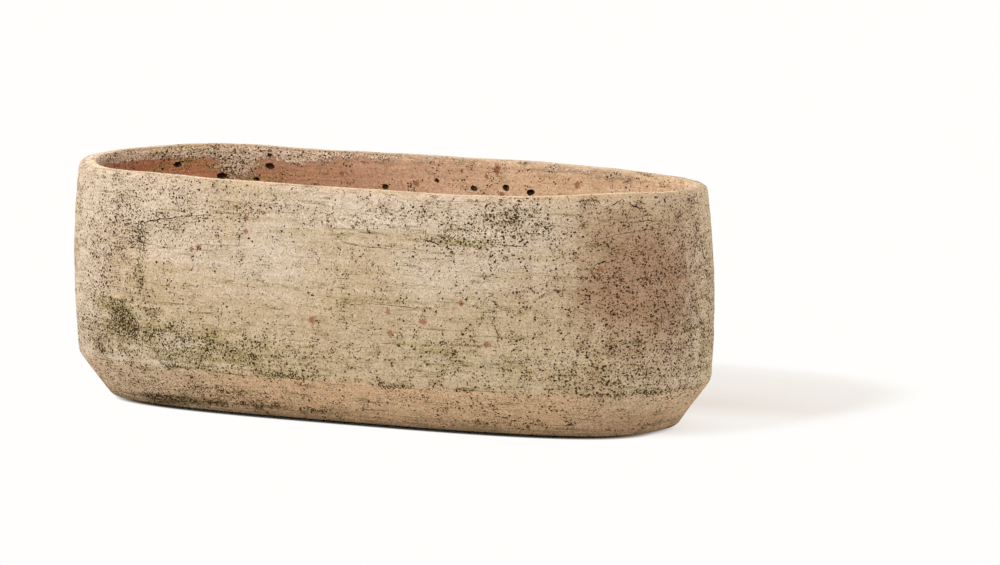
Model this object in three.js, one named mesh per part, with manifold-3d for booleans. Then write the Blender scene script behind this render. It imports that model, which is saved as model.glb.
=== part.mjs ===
// Oval trough planter of hand-formed fired clay, modelled as it comes apart on a bench:
// the clay body, two rubber drain plugs pushed in from inside and four rubber pads glued below.
// Millimetres, +Z up. The origin is on the floor under the middle of the pot, +X is the long way.

import * as THREE from 'three';
import { mergeVertices } from 'three/addons/utils/BufferGeometryUtils.js';
import Module from 'manifold-3d';

// Overall sizes of the clay body
const POT_LENGTH = 600;
const POT_WIDTH = 235;
const RIM_HEIGHT = 208;
const PLAN_POWER_SHARE = 3;          // 2 is an ellipse, larger numbers square the ends off
const WALL_THICKNESS = 16;
const FLOOR_THICKNESS = 18;

// Section of the wall: how far each height stands in from the widest outline
const BELLY_HEIGHT = 111;
const RIM_INSET = 5.5;
const CREASE_HEIGHT = 41;
const CREASE_INSET = 3;
const FOOT_INSET = 31;

// Rounding of the section's corners
const FOOT_ROUNDING = 9;
const CREASE_ROUNDING = 9;
const RIM_OUTER_ROUNDING = 5.5;
const RIM_INNER_ROUNDING = 4.5;
const INNER_CREASE_ROUNDING = 24;
const INNER_FLOOR_ROUNDING = 14;

// The rim was cut by hand: it tilts once round the pot, and sways a little twice round.
// The shares are of a turn from +X, counted on the lathe, to each one's highest place.
const RIM_TILT = 4.9;
const RIM_TILT_TOP_SHARE = 0.41;
const RIM_SWAY = 1.3;
const RIM_SWAY_TOP_SHARE = 0.375;

// Drain holes and the rubber plugs that close them
const DRAIN_SPACING = 260;
const DRAIN_TOP_DIAMETER = 26;
const DRAIN_BOTTOM_DIAMETER = 22;
const DRAIN_OUTLET_DEPTH = 6;        // open length of the hole below the plug
const PLUG_CLEARANCE = 0.3;
const PLUG_FLANGE_WIDTH = 6;
const PLUG_FLANGE_THICKNESS = 4.5;
const PLUG_NECK_DIAMETER = 12;
const PLUG_NECK_HEIGHT = 5;
const PLUG_KNOB_DIAMETER = 18;
const PLUG_KNOB_HEIGHT = 9;
const PLUG_ROUNDING = 1.2;
const PLUG_KNOB_ROUNDING = 3.2;

// Pads that keep the drain outlets open
const PAD_DIAMETER = 25;
const PAD_THICKNESS = 2.5;
const PAD_ROUNDING = 0.6;
const PAD_SPACING_LONG = 380;
const PAD_SPACING_WIDE = 110;
const GLUE_GAP = 0.3;

// How finely curves are cut into facets
const BODY_SIDES = 96;
const PLUG_SIDES = 28;
const PAD_SIDES = 24;
const DRAIN_SIDES = 32;
const WALL_STEPS = 4;
const ARC_STEPS = 2;
const CUT_OVERRUN = 5;

const HALF_LENGTH = POT_LENGTH / 2;
const HALF_WIDTH = POT_WIDTH / 2;
const CLAY_BOTTOM = PAD_THICKNESS + GLUE_GAP;
const FLOOR_TOP = CLAY_BOTTOM + FLOOR_THICKNESS;

const clay = new THREE.MeshStandardMaterial({ color: 0xd4bc9c, roughness: 0.94, metalness: 0 });
const plugRubber = new THREE.MeshStandardMaterial({ color: 0x2a2926, roughness: 0.78, metalness: 0 });
const padRubber = new THREE.MeshStandardMaterial({ color: 0x1d1c1b, roughness: 0.85, metalness: 0 });

// Turns a list of corners { r, z, rounding } into profile points, with an arc at each rounded one.
// An arc never takes more than half of the shorter edge beside it.
function roundedProfile(corners) {
  const points = [];
  corners.forEach((corner, index) => {
    const here = new THREE.Vector2(corner.r, corner.z);
    const before = corners[index - 1];
    const after = corners[index + 1];
    if (!corner.rounding || !before || !after) {
      points.push(here);
      return;
    }
    const back = new THREE.Vector2(before.r, before.z).sub(here);
    const ahead = new THREE.Vector2(after.r, after.z).sub(here);
    const halfAngle = Math.acos(back.dot(ahead) / (back.length() * ahead.length())) / 2;
    const room = Math.min(back.length(), ahead.length()) / 2;
    const setback = Math.min(corner.rounding / Math.tan(halfAngle), room);
    const start = here.clone().addScaledVector(back.normalize(), setback);
    const end = here.clone().addScaledVector(ahead.normalize(), setback);
    for (let step = 0; step <= ARC_STEPS; step += 1) {
      const share = step / ARC_STEPS;
      // A conic through the two tangent points, weighted to be the circular arc between them
      const weight = Math.sin(halfAngle);
      const a = (1 - share) ** 2;
      const b = 2 * share * (1 - share) * weight;
      const c = share ** 2;
      const sum = a + b + c;
      points.push(new THREE.Vector2(
        (a * start.x + b * here.x + c * end.x) / sum,
        (a * start.y + b * here.y + c * end.y) / sum,
      ));
    }
  });
  return points;
}

// Solid of revolution about +Z from a profile that starts and ends on the axis
function turned(corners, sides) {
  const geometry = new THREE.LatheGeometry(roundedProfile(corners), sides);
  geometry.rotateX(Math.PI / 2);
  return geometry;
}

// Merges shared vertices and drops the triangles that collapsed on the axis
function closed(geometry) {
  const bare = geometry.clone();
  bare.deleteAttribute('normal');
  bare.deleteAttribute('uv');
  const merged = mergeVertices(bare);
  const index = merged.getIndex().array;
  const kept = [];
  for (let i = 0; i < index.length; i += 3) {
    const [a, b, c] = [index[i], index[i + 1], index[i + 2]];
    if (a !== b && b !== c && c !== a) kept.push(a, b, c);
  }
  merged.setIndex(kept);
  return merged;
}

// Inset of the outer wall: two parabolas that meet at the belly, the widest height
function wallInset(height) {
  if (height > BELLY_HEIGHT) {
    return RIM_INSET * ((height - BELLY_HEIGHT) / (RIM_HEIGHT - BELLY_HEIGHT)) ** 2;
  }
  return CREASE_INSET * ((BELLY_HEIGHT - height) / (BELLY_HEIGHT - CREASE_HEIGHT)) ** 2;
}

// Inset of the sloping band between the foot and the crease
function footBandInset(height) {
  const share = (height - CLAY_BOTTOM) / (CREASE_HEIGHT - CLAY_BOTTOM);
  return FOOT_INSET + (CREASE_INSET - FOOT_INSET) * share;
}

// Heights between the crease and the rim where the bulging wall gets a point
function wallHeights() {
  const heights = [];
  for (let step = 1; step <= WALL_STEPS; step += 1) {
    heights.push(CREASE_HEIGHT + (BELLY_HEIGHT - CREASE_HEIGHT) * (step / WALL_STEPS));
  }
  for (let step = 1; step < WALL_STEPS; step += 1) {
    heights.push(BELLY_HEIGHT + (RIM_HEIGHT - BELLY_HEIGHT) * (step / WALL_STEPS));
  }
  return heights;
}

// The section, written as half-length minus inset so that it can be turned on the lathe first
function bodyCorners() {
  const at = (inset, z, rounding = 0) => ({ r: HALF_LENGTH - inset, z, rounding });
  const outside = wallHeights().map((z) => at(wallInset(z), z));
  const inside = wallHeights().reverse().map((z) => at(wallInset(z) + WALL_THICKNESS, z));
  return [
    { r: 0, z: CLAY_BOTTOM },
    at(FOOT_INSET, CLAY_BOTTOM, FOOT_ROUNDING),
    at(CREASE_INSET, CREASE_HEIGHT, CREASE_ROUNDING),
    ...outside,
    at(RIM_INSET, RIM_HEIGHT, RIM_OUTER_ROUNDING),
    at(RIM_INSET + WALL_THICKNESS, RIM_HEIGHT, RIM_INNER_ROUNDING),
    ...inside,
    at(CREASE_INSET + WALL_THICKNESS, CREASE_HEIGHT, INNER_CREASE_ROUNDING),
    at(footBandInset(FLOOR_TOP) + WALL_THICKNESS, FLOOR_TOP, INNER_FLOOR_ROUNDING),
    { r: 0, z: FLOOR_TOP },
  ];
}

// Rise of the hand-cut rim over its mean height, at an angle on the lathe
function rimRise(angle) {
  const turn = 2 * Math.PI;
  const tilt = RIM_TILT * Math.cos(angle - turn * RIM_TILT_TOP_SHARE);
  const sway = RIM_SWAY * Math.cos(2 * (angle - turn * RIM_SWAY_TOP_SHARE));
  return tilt + sway;
}

// Reshapes the round lathe solid to the squared oval plan and gives it the uneven rim.
// Both half axes lose the same inset, so walls keep their thickness all round.
function toSquaredOval(geometry) {
  const position = geometry.getAttribute('position');
  const bend = (value) => Math.sign(value) * Math.abs(value) ** (2 / PLAN_POWER_SHARE);
  for (let i = 0; i < position.count; i += 1) {
    const radius = Math.hypot(position.getX(i), position.getY(i));
    if (radius > HALF_LENGTH - HALF_WIDTH) {
      const angle = Math.atan2(position.getY(i), position.getX(i));
      const x = radius * bend(Math.cos(angle));
      const y = (radius - HALF_LENGTH + HALF_WIDTH) * bend(Math.sin(angle));
      const z = position.getZ(i);
      const wallShare = Math.max(0, (z - CREASE_HEIGHT) / (RIM_HEIGHT - CREASE_HEIGHT));
      position.setXYZ(i, x, y, z + wallShare * rimRise(angle));
    }
  }
  return geometry;
}

const wasm = await Module();
wasm.setup();

function toManifold(geometry) {
  const mesh = new wasm.Mesh({
    numProp: 3,
    vertProperties: new Float32Array(geometry.getAttribute('position').array),
    triVerts: new Uint32Array(geometry.getIndex().array),
  });
  return new wasm.Manifold(mesh);
}

function fromManifold(manifold) {
  const mesh = manifold.getMesh();
  const geometry = new THREE.BufferGeometry();
  geometry.setAttribute('position', new THREE.BufferAttribute(mesh.vertProperties, 3));
  geometry.setIndex(new THREE.BufferAttribute(mesh.triVerts, 1));
  return geometry;
}

// Radius of the tapered drain hole at a height inside the floor
function drainRadius(height) {
  const share = (height - CLAY_BOTTOM) / FLOOR_THICKNESS;
  return (DRAIN_BOTTOM_DIAMETER + (DRAIN_TOP_DIAMETER - DRAIN_BOTTOM_DIAMETER) * share) / 2;
}

// The taper as a cutting solid that runs past both faces of the floor
function drainCutter(x) {
  const low = CLAY_BOTTOM - CUT_OVERRUN;
  const high = FLOOR_TOP + CUT_OVERRUN;
  const cone = new THREE.CylinderGeometry(drainRadius(high), drainRadius(low), high - low, DRAIN_SIDES);
  cone.rotateX(Math.PI / 2);
  cone.translate(x, 0, (low + high) / 2);
  return toManifold(closed(cone));
}

function potBody() {
  let solid = toManifold(closed(toSquaredOval(turned(bodyCorners(), BODY_SIDES))));
  for (const x of [-DRAIN_SPACING / 2, DRAIN_SPACING / 2]) {
    solid = solid.subtract(drainCutter(x));
  }
  return fromManifold(solid);
}

// A plug stands on its flange, so its own z = 0 is the flange's underside
function drainPlug() {
  const stemLength = FLOOR_THICKNESS - DRAIN_OUTLET_DEPTH + PLUG_CLEARANCE;
  const stemTop = DRAIN_TOP_DIAMETER / 2 - PLUG_CLEARANCE;
  const stemTip = drainRadius(CLAY_BOTTOM + DRAIN_OUTLET_DEPTH) - PLUG_CLEARANCE;
  const flange = DRAIN_TOP_DIAMETER / 2 + PLUG_FLANGE_WIDTH;
  const neckTop = PLUG_FLANGE_THICKNESS + PLUG_NECK_HEIGHT;
  const neck = PLUG_NECK_DIAMETER / 2;
  const knob = PLUG_KNOB_DIAMETER / 2;
  const knobTop = neckTop + PLUG_KNOB_HEIGHT;
  return turned([
    { r: 0, z: -stemLength },
    { r: stemTip, z: -stemLength, rounding: PLUG_ROUNDING },
    { r: stemTop, z: 0 },
    { r: flange, z: 0, rounding: PLUG_ROUNDING },
    { r: flange, z: PLUG_FLANGE_THICKNESS, rounding: PLUG_ROUNDING },
    { r: neck, z: PLUG_FLANGE_THICKNESS, rounding: PLUG_ROUNDING },
    { r: neck, z: neckTop, rounding: PLUG_ROUNDING },
    { r: knob, z: neckTop, rounding: PLUG_KNOB_ROUNDING },
    { r: knob, z: knobTop, rounding: PLUG_KNOB_ROUNDING },
    { r: 0, z: knobTop },
  ], PLUG_SIDES);
}

function footPad() {
  const radius = PAD_DIAMETER / 2;
  return turned([
    { r: 0, z: 0 },
    { r: radius, z: 0, rounding: PAD_ROUNDING },
    { r: radius, z: PAD_THICKNESS, rounding: PAD_ROUNDING },
    { r: 0, z: PAD_THICKNESS },
  ], PAD_SIDES);
}

function named(name, geometry, material) {
  const mesh = new THREE.Mesh(geometry, material);
  mesh.name = name;
  return mesh;
}

const planter = new THREE.Group();
planter.add(named('pot_body', potBody(), clay));

const sides = [['left', -1], ['right', 1]];
for (const [side, way] of sides) {
  const plug = named(`drain_plug_${side}`, closed(drainPlug()), plugRubber);
  plug.position.set(way * DRAIN_SPACING / 2, 0, FLOOR_TOP + PLUG_CLEARANCE);
  planter.add(plug);
}

for (const [row, depthWay] of [['front', -1], ['rear', 1]]) {
  for (const [side, way] of sides) {
    const pad = named(`foot_pad_${row}_${side}`, closed(footPad()), padRubber);
    pad.position.set(way * PAD_SPACING_LONG / 2, depthWay * PAD_SPACING_WIDE / 2, 0);
    planter.add(pad);
  }
}

export default planter;
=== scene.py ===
import math
import random
from types import SimpleNamespace

import bpy
import numpy as np
from mathutils import Matrix, Vector
from mathutils.bvhtree import BVHTree


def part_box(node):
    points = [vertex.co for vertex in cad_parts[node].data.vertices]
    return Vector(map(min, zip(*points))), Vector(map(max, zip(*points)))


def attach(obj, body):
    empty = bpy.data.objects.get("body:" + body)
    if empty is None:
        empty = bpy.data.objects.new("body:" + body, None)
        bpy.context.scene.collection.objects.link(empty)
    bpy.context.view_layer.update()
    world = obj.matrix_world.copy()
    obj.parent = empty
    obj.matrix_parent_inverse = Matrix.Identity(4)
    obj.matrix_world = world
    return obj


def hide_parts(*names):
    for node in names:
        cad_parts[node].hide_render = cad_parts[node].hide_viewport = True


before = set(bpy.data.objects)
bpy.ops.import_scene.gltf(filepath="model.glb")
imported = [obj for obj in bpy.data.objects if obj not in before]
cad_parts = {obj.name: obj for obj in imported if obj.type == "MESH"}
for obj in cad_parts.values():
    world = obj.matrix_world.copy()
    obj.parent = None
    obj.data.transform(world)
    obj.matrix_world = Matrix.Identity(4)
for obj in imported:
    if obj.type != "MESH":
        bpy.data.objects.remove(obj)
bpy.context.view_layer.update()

MM = 0.001
TURN = 2 * math.pi

# Sizes of the clay body. The imported model's box gives its outer ones, and the rest repeat that model's,
# but for the foot, which is a little fuller here and has a softer crease, as in the photograph.
pot_low, pot_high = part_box("pot_body")
HALF_LENGTH = pot_high.x
HALF_WIDTH = pot_high.y
CLAY_BOTTOM = pot_low.z
PLAN_POWER = 3.0
RIM_HEIGHT = 208 * MM
BELLY_HEIGHT = 111 * MM
CREASE_HEIGHT = 41 * MM
RIM_INSET = 5.5 * MM
CREASE_INSET = 3 * MM
FOOT_INSET = 29.5 * MM
WALL = 16 * MM
FLOOR_TOP = CLAY_BOTTOM + 18 * MM
FOOT_ROUNDING = 6 * MM
CREASE_ROUNDING = 22 * MM
RIM_OUTER_ROUNDING = 5.5 * MM
RIM_INNER_ROUNDING = 4.5 * MM
INNER_CREASE_ROUNDING = 24 * MM
INNER_FLOOR_ROUNDING = 14 * MM

# Waves of the hand-cut rim: times round the pot, rise, and share of a turn to the highest place. A
# least-squares fit to points read along the rim in the photograph gave the rises and places.
RIM_WAVES = [(1, 5.22 * MM, 0.371), (2, 1.57 * MM, 0.403), (3, 0.39 * MM, 0.285), (4, 0.87 * MM, 0.179),
             (5, 0.51 * MM, 0.117), (6, 0.34 * MM, 0.049), (7, 0.31 * MM, 0.082)]

# Drain holes
DRAIN_SPACING = 260 * MM
DRAIN_TOP_RADIUS = 13 * MM
DRAIN_BOTTOM_RADIUS = 11 * MM
CUT_OVERRUN = 5 * MM

# Drain plugs and floor pads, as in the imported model
PLUG_GAP = 0.3 * MM
DRAIN_OUTLET_DEPTH = 6 * MM
PLUG_FLANGE_WIDTH = 6 * MM
PLUG_FLANGE_THICKNESS = 4.5 * MM
PLUG_NECK_RADIUS = 6 * MM
PLUG_NECK_HEIGHT = 5 * MM
PLUG_KNOB_RADIUS = 9 * MM
PLUG_ROUNDING = 1.2 * MM
PLUG_KNOB_ROUNDING = 3.2 * MM
PLUG_DISH = 1.1 * MM
PLUG_GROOVE = 0.7 * MM
PAD_ROUNDING = 0.6 * MM
RUBBER_SIDES = 96

# How finely the clay is meshed
PLAN_POINTS = 2400
COLUMNS = 460
OUTSIDE_STEP = 2.9 * MM
INSIDE_STEP = 4.2 * MM
FLOOR_STEP = 18 * MM
DRAIN_SIDES = 64

# Inside this reach along the pot, the rings of the floor shrink alike both ways
FLAT_MIDDLE_RADIUS = 235 * MM
FLAT_MIDDLE_SHARE = (FLAT_MIDDLE_RADIUS - HALF_LENGTH + HALF_WIDTH) / FLAT_MIDDLE_RADIUS

# Hand marks in the clay: how far each kind goes in and out, and how wide it is
HAND_WOBBLE = 1.2 * MM
SLOW_DENT_WIDTH = 95 * MM
THUMB_DAB_WIDTH = 34 * MM
BRUSH_RIPPLE = 0.6 * MM
BRUSH_RIPPLE_LENGTH = 150 * MM
BRUSH_RIPPLE_WIDTH = 9 * MM
TOOTH = 0.35 * MM
TOOTH_WIDTH = 7 * MM

# Places on the walls are given as a share of the turn, counted from +X by way of the back, and a
# height in mm. Sizes in these tables are in mm too. Bubbles, scores and lumps that the photograph shows
# were picked in it, and most of their places were then worked out with the fitted camera.

# Burst air bubbles on the inside of the wall: place and width
INSIDE_PITS = [(0.422, 191, 7), (0.335, 191, 8), (0.335, 200.5, 4), (0.375, 180.5, 8), (0.345, 179, 6),
               (0.267, 179.5, 7), (0.251, 187.5, 5), (0.245, 182.5, 6), (0.234, 184.5, 7), (0.223, 182, 9)]
# More by chance: on which face, how many, and their least and greatest radius in mm
RANDOM_PITS = [("outside", 330, 0.6, 1.5), ("inside", 70, 0.7, 1.9), ("rim", 46, 0.5, 1.2)]
# At random each is tilted and turned, and stretched along its three axes, between these
PIT_TURNS = (-0.3, -0.3, 0.0), (0.3, 0.3, TURN)
PIT_STRETCHES = (0.9, 0.9, 0.6), (1.25, 1.25, 0.95)
PIT_LUMPINESS = 0.9
PIT_LUMP_WIDTH = 2.4 * MM
# The least clay between two
PIT_SPACING = 1.5 * MM
# Up to this radius they are cut by coarser balls
SMALL_PIT_RADIUS = 1.6 * MM
# At 1 all radii would be as likely, and above it small ones are likelier
MOSTLY_SMALL = 2.5
PIT_SEED = 11

# Cracks, scores and gouges in the outer wall: places along each, width and depth
SCORES = [
    ([(0.654, 160.5), (0.67, 165), (0.683, 169), (0.699, 173.5), (0.712, 177), (0.722, 177)], 0.8, 3.0),
    ([(0.705, 173.5), (0.714, 174.5), (0.723, 175)], 0.5, 0.9),
    ([(0.753, 162.5), (0.759, 160.5), (0.769, 159.5), (0.78, 160.5)], 0.6, 0.9),
    ([(0.785, 169.5), (0.79, 167.5), (0.794, 165.5)], 1.1, 1.5),
    ([(0.826, 168), (0.835, 167), (0.844, 167)], 0.9, 1.2),
    ([(0.853, 183), (0.859, 183.3), (0.864, 184)], 1.0, 1.2),
    ([(0.762, 111.5), (0.77, 111.5), (0.776, 111), (0.784, 110.5)], 0.9, 1.2),
    ([(0.764, 77.5), (0.771, 77.8), (0.778, 78)], 0.6, 0.8),
    ([(0.878, 203.5), (0.885, 203.8), (0.892, 204), (0.901, 204)], 0.9, 1.4),
    ([(0.911, 198.5), (0.915, 200.5), (0.919, 202), (0.924, 204)], 1.2, 1.6),
    ([(0.929, 199), (0.935, 197.5), (0.943, 195.5)], 1.9, 2.0),
    ([(0.916, 184), (0.931, 184.3), (0.95, 185.5), (0.976, 184.5)], 0.9, 1.1),
    ([(0.887, 169), (0.909, 173.5), (0.934, 177), (0.975, 180)], 0.8, 1.0),
    ([(0.893, 149.5), (0.898, 151.5), (0.903, 153), (0.908, 151)], 2.0, 1.4),
    ([(0.875, 140), (0.881, 140.5), (0.887, 140.5)], 1.0, 1.2),
    ([(0.911, 160.5), (0.9135, 161.8), (0.916, 163)], 1.2, 1.3),
    ([(0.728, 166.5), (0.735, 166.3), (0.743, 166)], 0.5, 0.7),
    ([(0.713, 41), (0.725, 40), (0.737, 39.5)], 0.9, 1.0),
    ([(0.822, 32), (0.838, 31.8), (0.853, 31.5)], 0.7, 0.8),
    ([(0.08, 150), (0.10, 153), (0.13, 154), (0.16, 152)], 0.9, 1.4),
    ([(0.26, 171), (0.29, 172.5), (0.33, 171)], 0.7, 1.0),
    ([(0.41, 96), (0.425, 97), (0.44, 96.5)], 1.6, 1.6),
]
# In mm too: the step along a score, the jitter of its line, and the length round the wall
SCORE_STEP = 2.4
SCORE_JITTER = 0.5
WALL_ROUND = 1430
# Each is a wedge with its lip this far outside the wall
SCORE_LIP = 1.0 * MM
# Half the wedge's height at its lip as a share of the width, and the least and greatest chance swell
SCORE_HALF_OPENING_SHARE = 0.75
SCORE_SWELL_SHARES = 0.55, 1.2
SCORE_SEED = 5

# Rust-red lumps of grog that show in the surface: place and width
OUTSIDE_GROG = [(0.75, 93.5, 6.4), (0.785, 99, 6), (0.771, 86.5, 5.4), (0.804, 117, 5), (0.818, 82.5, 5.2),
                (0.77, 105.5, 4.6), (0.711, 148.5, 5), (0.707, 147, 4), (0.733, 166, 4), (0.733, 178, 4.4),
                (0.9, 146, 4), (0.23, 120, 6), (0.31, 88, 5), (0.42, 150, 5.4), (0.12, 96, 5)]
INSIDE_GROG = [(0.256, 184, 6), (0.237, 200.5, 7), (0.241, 193, 4.6), (0.288, 189, 4.6),
               (0.196, 191.5, 5.4), (0.236, 179, 6), (0.68, 150, 4), (0.8, 120, 4.5)]

# Stains and growths. Each is painted round a place: reach along the wall, reach up it, and strength.
# Most of the places were set one by one, and the others were worked out like those above.
PATCHES = {
    "moss": [
        (0.654, 79, 17, 14, 1.0), (0.668, 71, 14, 7, 0.5), (0.684, 70.5, 12, 6, 0.55),
        (0.679, 85, 9, 5, 0.5), (0.642, 92, 12, 6, 0.5), (0.671, 158, 12, 12, 0.5),
        (0.672, 125, 20, 24, 0.35), (0.624, 53, 14, 8, 0.4), (0.637, 50, 14, 5, 0.35),
        (0.655, 9, 20, 5, 0.75), (0.67, 9.5, 28, 5, 0.8), (0.7, 10, 26, 4, 0.65),
        (0.73, 12.5, 40, 4, 0.6), (0.665, 25, 30, 5, 0.25), (0.716, 60, 14, 5, 0.5),
        (0.735, 57, 16, 4, 0.65), (0.705, 67, 14, 4, 0.45), (0.717, 73, 12, 4, 0.45),
        (0.745, 42.5, 26, 3, 0.85), (0.77, 41, 26, 3, 0.6), (0.8, 41, 20, 3, 0.45),
        (0.84, 40, 30, 3, 0.4), (0.9, 40.5, 26, 3, 0.35), (0.95, 41.5, 30, 3, 0.35),
        (0.99, 43, 40, 3, 0.5), (0.747, 64, 12, 5, 0.4), (0.799, 73, 10, 5, 0.5),
        (0.793, 82, 14, 3, 0.5), (0.834, 191.5, 10, 8, 0.6), (0.815, 116.5, 8, 5, 0.55),
        (0.841, 112, 14, 5, 0.35), (0.788, 169.5, 10, 3, 0.5), (0.915, 82, 26, 12, 0.33),
        (0.997, 106, 26, 24, 0.32), (0.007, 157, 12, 20, 0.35), (0.9, 202, 34, 5, 0.35),
        (0.912, 138, 18, 14, 0.25), (0.988, 12, 24, 5, 0.4), (0.75, 12, 40, 5, 0.5),
        (0.81, 11.5, 30, 4, 0.4), (0.755, 168, 8, 3, 0.35), (0.81, 168, 16, 3, 0.35),
        (0.715, 24, 40, 8, 0.3), (0.012, 90, 30, 40, 0.1), (0.692, 42, 16, 4, 0.5),
    ],
    "algae": [
        (0.638, 94, 18, 8, 0.9), (0.657, 77, 20, 14, 0.4), (0.66, 70, 60, 26, 0.28),
        (0.70, 58, 70, 18, 0.32), (0.74, 58, 60, 12, 0.38), (0.717, 71, 14, 6, 0.8),
        (0.733, 56, 16, 4, 0.8), (0.703, 52, 20, 5, 0.5), (0.745, 45, 30, 4, 0.6),
        (0.757, 112, 24, 5, 0.8), (0.773, 116, 24, 5, 0.6), (0.79, 75, 40, 14, 0.42),
        (0.788, 169, 30, 4, 0.8), (0.81, 168, 26, 4, 0.7), (0.755, 168, 12, 4, 0.6),
        (0.672, 122, 12, 16, 0.45), (0.83, 60, 40, 12, 0.25), (0.65, 20, 50, 10, 0.2),
        (0.01, 95, 30, 30, 0.3),
    ],
    "bloom": [
        (0.67, 185, 50, 22, 0.9), (0.62, 180, 30, 30, 0.7), (0.57, 120, 60, 80, 0.8),
        (0.76, 190, 80, 14, 0.6), (0.82, 180, 60, 22, 0.7), (0.80, 140, 60, 18, 0.5),
        (0.74, 140, 50, 30, 0.4), (0.70, 150, 40, 20, 0.4), (0.645, 28, 45, 12, 0.8),
        (0.995, 115, 50, 80, 0.6), (0.69, 58, 46, 20, 0.5), (0.63, 35, 36, 14, 0.45),
        (0.605, 90, 22, 30, 0.35),
    ],
    # Rust-brown stain. On the two front corners it is also painted shade, where the wall turns from the
    # light.
    "iron": [
        (0.925, 140, 50, 42, 0.7), (0.95, 100, 55, 40, 0.4), (0.905, 188, 50, 20, 0.2),
        (0.97, 60, 60, 20, 0.15), (0.99, 140, 45, 60, 0.35), (0.93, 152, 22, 16, 0.3),
        (0.956, 15, 40, 12, 1.0), (0.655, 150, 18, 50, 0.25), (0.62, 60, 26, 16, 0.3),
        (0.7, 22, 70, 12, 0.3),
    ],
    "pores": [
        (0.834, 190, 44, 14, 0.85), (0.77, 189, 50, 10, 0.9), (0.734, 186, 40, 8, 0.8),
        (0.66, 175, 40, 35, 0.6), (0.815, 172, 60, 14, 0.6), (0.693, 196, 30, 6, 0.7),
        (0.01, 120, 50, 70, 0.8), (0.65, 24, 60, 16, 0.35), (0.69, 20, 60, 12, 0.6),
        (0.8, 22, 90, 12, 0.35), (0.90, 120, 60, 60, 0.38), (0.99, 110, 60, 70, 0.9),
        (0.95, 60, 60, 25, 0.7), (0.86, 60, 40, 20, 0.35), (0.67, 60, 70, 25, 0.5),
        (0.73, 60, 90, 18, 0.6), (0.80, 60, 60, 20, 0.35), (0.62, 110, 30, 60, 0.42),
        (0.7, 165, 50, 16, 0.5), (0.655, 135, 30, 50, 0.35), (0.725, 22, 80, 14, 0.5),
    ],
    "scum": [
        (0.48, 204, 60, 6, 0.9), (0.43, 204, 50, 6, 0.8), (0.36, 191, 24, 13, 1.0),
        (0.315, 199, 24, 7, 0.9), (0.21, 203, 30, 4, 0.4), (0.17, 203, 40, 5, 0.4),
        (0.62, 196, 60, 10, 0.7), (0.75, 192, 80, 12, 0.6), (0.88, 198, 60, 9, 0.5),
    ],
}
# The back, which the photograph doesn't show, gets the same kinds by chance: how many, and how strong
BACK_PATCHES = {
    "moss": (12, 0.7), "algae": (12, 0.8), "bloom": (6, 0.8), "iron": (7, 0.7), "pores": (9, 0.8),
}
BACK_SEED = 23

# Colours of the bare clay, outside and at the left and right end of the inside
CLAY_COLOUR = "#C7AC8C"
SALMON_LEFT = "#B37859"
SALMON_RIGHT = "#DEBC9B"
# What is laid over them, each with its strength and colour
TINTS = {
    # The rust tint is also painted shade on the front corners.
    "tan": (0.6, "#BFA37F"), "bloom": (0.7, "#D5BEA8"), "iron": (1.0, "#A58165"),
    "foot": (0.85, "#E0B087"), "scum": (0.85, "#D8C3AA"), "scum_edge": (1.7, "#8A6247"),
    # The pale rim tint is partly a painted highlight on the rim's top.
    "algae": (0.54, "#9C8954"), "moss": (0.42, "#84714A"), "pale_rim_and_highlight": (0.85, "#F2D9BB"),
    "scratches": (0.6, "#7A6340"), "low_dark_streaks": (0.65, "#5C472C"), "grog_lumps": (0.8, "#945C42"),
    "grog_grains": (0.8, "#8A5638"), "crumbs": (0.94, "#382000"), "finest_dots": (0.7, "#66420C"),
    "fine_dots": (0.92, "#482A00"), "wide_dots": (0.96, "#382000"), "widest_dots": (0.96, "#321C00"),
}
# How far brush lines, sand and crumbs swing the red, green and blue. The dark ones are warmer than the
# clay and the light ones cooler, so blue swings most.
COLOUR_SWING = (0.85, 1.0, 1.3)
# Dots of dirt and pores: width in mm of the cells that they fall in, least and greatest reach as a
# share of a cell, share of the cells that have one anywhere, and how far that follows the swarms.
# The smallest, under 0.5 mm, are drawn at 0.9 mm so that they show.
DOTS = {
    "finest_dots": (1.5, 0.28, 0.46, 0.06, 0.8), "fine_dots": (2.0, 0.27, 0.45, 0.04, 0.9),
    "wide_dots": (3.1, 0.23, 0.41, 0.04, 0.9), "widest_dots": (5.0, 0.14, 0.23, 0.13, 0.8),
}

# Camera, taken from a fit to the photograph
CAMERA_AZIMUTH = math.radians(31.2)
CAMERA_ELEVATION = math.radians(6.73)
CAMERA_ROLL = math.radians(-0.35)
CAMERA_DISTANCE = 4.289
AIM_ALONG = 96.9 * MM
AIM_HEIGHT = 110.9 * MM
LENS_MM = 180.2
SENSOR_MM = 36

# Studio. The shadow's place is where it falls on the floor in the photograph.
ROOM_LEVEL = 0.66
ROOM_WHITE = "#FFFEFC"
FLOOR_REACH = 4.0
FLOOR_RETURN = 0.75
OPEN_FLOOR_LEVEL = 1.085
SHADOW_TINT = "#E6F7FF"
SHADOW_CENTRE = (0.06, 0.18)
SHADOW_HALF_SIZE = (0.28, 0.215)
SHADOW_FADE_Y = (0.09, 0.2)
SHADOW_FRONT_SHARE = 0.33
# Lamps: name, watts, width, distance, azimuth and elevation in degrees
LAMPS = [("key", 28, 0.75, 2.6, -12, 38), ("left_fill", 13, 1.0, 2.0, -82, 25),
         ("right_fill", 12, 1.0, 2.0, 100, 14), ("overhead", 8, 1.5, 2.2, 0, 84)]


def linear(hex_colour):
    """An sRGB hex colour as the linear RGBA that Blender's sockets hold."""
    parts = [int(hex_colour[i:i + 2], 16) / 255 for i in (1, 3, 5)]
    return tuple(c / 12.92 if c <= 0.04045 else ((c + 0.055) / 1.055) ** 2.4 for c in parts) + (1.0,)


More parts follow.
